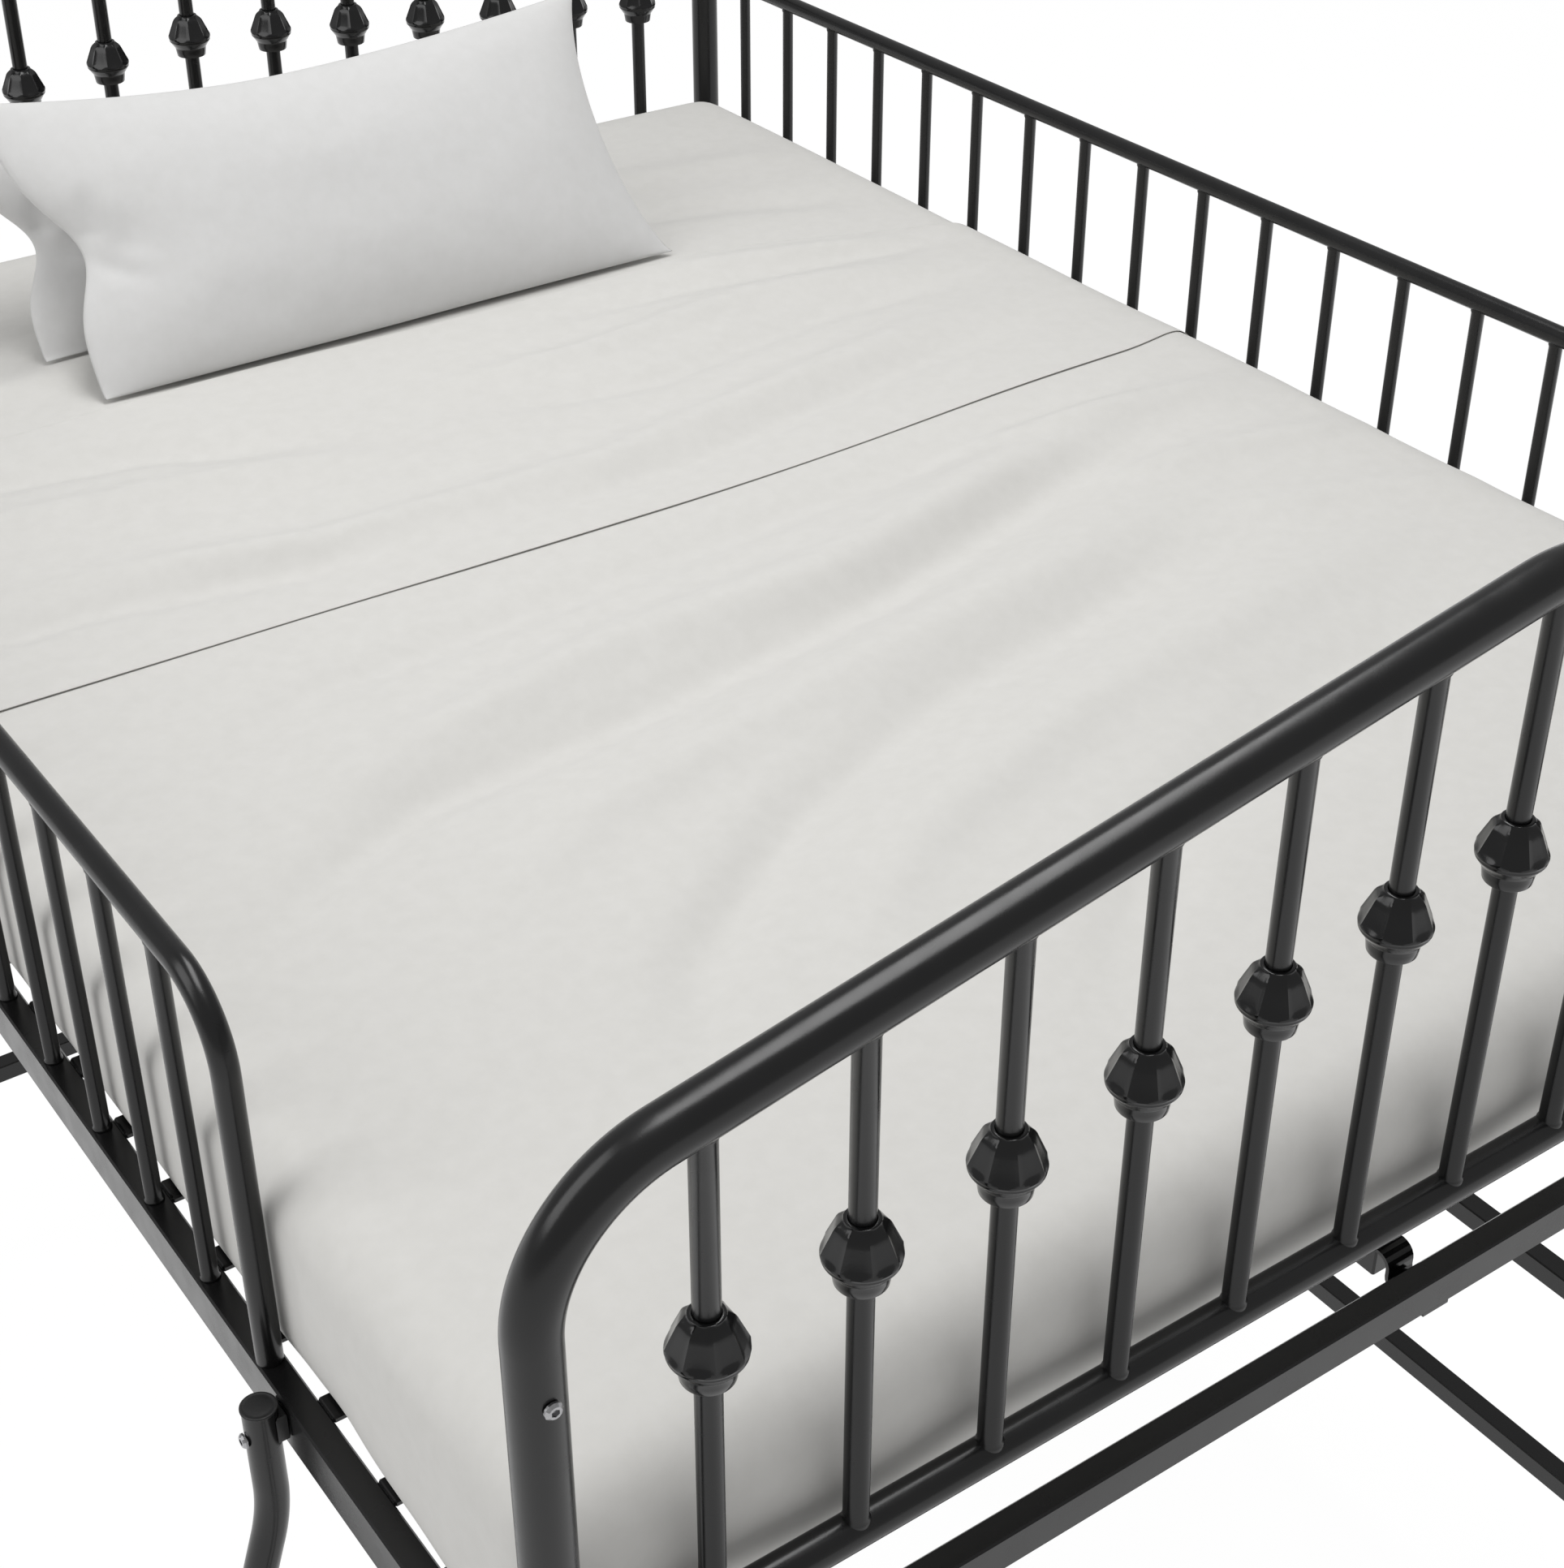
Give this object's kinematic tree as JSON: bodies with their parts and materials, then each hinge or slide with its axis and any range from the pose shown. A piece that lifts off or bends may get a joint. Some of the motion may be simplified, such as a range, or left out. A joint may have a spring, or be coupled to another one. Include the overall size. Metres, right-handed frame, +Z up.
{
  "type": "metal loft bed",
  "caption": "Full-size black metal loft bed: arched spindle end panels with faceted knobs, slatted deck, guard rails, leaning ladder, mattress, fitted sheet and leaning pillows.",
  "frame": {"origin": "centre of the footprint's bounding box on the floor", "axes": "+Z up, +Y from the foot panel to the head panel along the bed's length, +X from the ladder side to the side with the full-length guard rail"},
  "size_m": [1.8339, 2.0002, 1.8197],
  "materials": {
    "black_powder_coat": "satin powder coat",
    "cast_knob": "semi-gloss powder coat on cast metal",
    "strap_gloss": "gloss paint",
    "bright_zinc": "bright zinc plate",
    "cap_plastic": "matte",
    "saddle_plastic": "semi-gloss",
    "mattress_ticking": "plain woven cover",
    "sheet_cotton": "smooth woven cotton",
    "pillow_cotton": "smooth woven cotton"
  },
  "bodies": {
    "frame": {"back_stretcher_high": "black_powder_coat", "back_stretcher_low": "black_powder_coat", "beam_hook_foot": "strap_gloss", "beam_hook_head": "strap_gloss", "footboard_crossbar": "black_powder_coat", "footboard_far_bolt": "bright_zinc", "footboard_grille": "black_powder_coat", "footboard_hoop": "black_powder_coat", "footboard_knob_01": "cast_knob", "footboard_knob_02": "cast_knob", "footboard_knob_03": "cast_knob", "footboard_knob_04": "cast_knob", "footboard_knob_05": "cast_knob", "footboard_knob_06": "cast_knob", "footboard_knob_07": "cast_knob", "footboard_knob_08": "cast_knob", "footboard_knob_09": "cast_knob", "footboard_knob_10": "cast_knob", "footboard_knob_11": "cast_knob", "footboard_knob_12": "cast_knob", "footboard_knob_13": "cast_knob", "footboard_near_bolt": "bright_zinc", "footboard_stretcher": "black_powder_coat", "guard_far": "black_powder_coat", "guard_near": "black_powder_coat", "headboard_crossbar": "black_powder_coat", "headboard_far_bolt": "bright_zinc", "headboard_grille": "black_powder_coat", "headboard_hoop": "black_powder_coat", "headboard_knob_01": "cast_knob", "headboard_knob_02": "cast_knob", "headboard_knob_03": "cast_knob", "headboard_knob_04": "cast_knob", "headboard_knob_05": "cast_knob", "headboard_knob_06": "cast_knob", "headboard_knob_07": "cast_knob", "headboard_knob_08": "cast_knob", "headboard_knob_09": "cast_knob", "headboard_knob_10": "cast_knob", "headboard_knob_11": "cast_knob", "headboard_knob_12": "cast_knob", "headboard_knob_13": "cast_knob", "headboard_near_bolt": "bright_zinc", "headboard_stretcher": "black_powder_coat", "ladder_bolt_front": "bright_zinc", "ladder_bolt_rear": "bright_zinc", "ladder_cap_front": "cap_plastic", "ladder_cap_rear": "cap_plastic", "ladder_frame": "black_powder_coat", "ladder_saddle_front": "saddle_plastic", "ladder_saddle_rear": "saddle_plastic", "side_rail_far": "black_powder_coat", "side_rail_near": "black_powder_coat", "slat_deck": "black_powder_coat"},
    "bedding": {"mattress": "mattress_ticking", "bed_sheet": "sheet_cotton"},
    "pillow_back": {"pillow_back": "pillow_cotton"},
    "pillow_front": {"pillow_front": "pillow_cotton"}
  },
  "joints": [
    {"name": "bedding_lift", "type": "slide", "parent": "frame", "child": "bedding", "axis": [0, 0, 1], "range_m": [0, 0.6]},
    {"name": "pillow_back_lift", "type": "slide", "parent": "bedding", "child": "pillow_back", "axis": [0, 0, 1], "range_m": [0, 0.5]},
    {"name": "pillow_front_lift", "type": "slide", "parent": "pillow_back", "child": "pillow_front", "axis": [0, 0, 1], "range_m": [0, 0.5]}
  ]
}
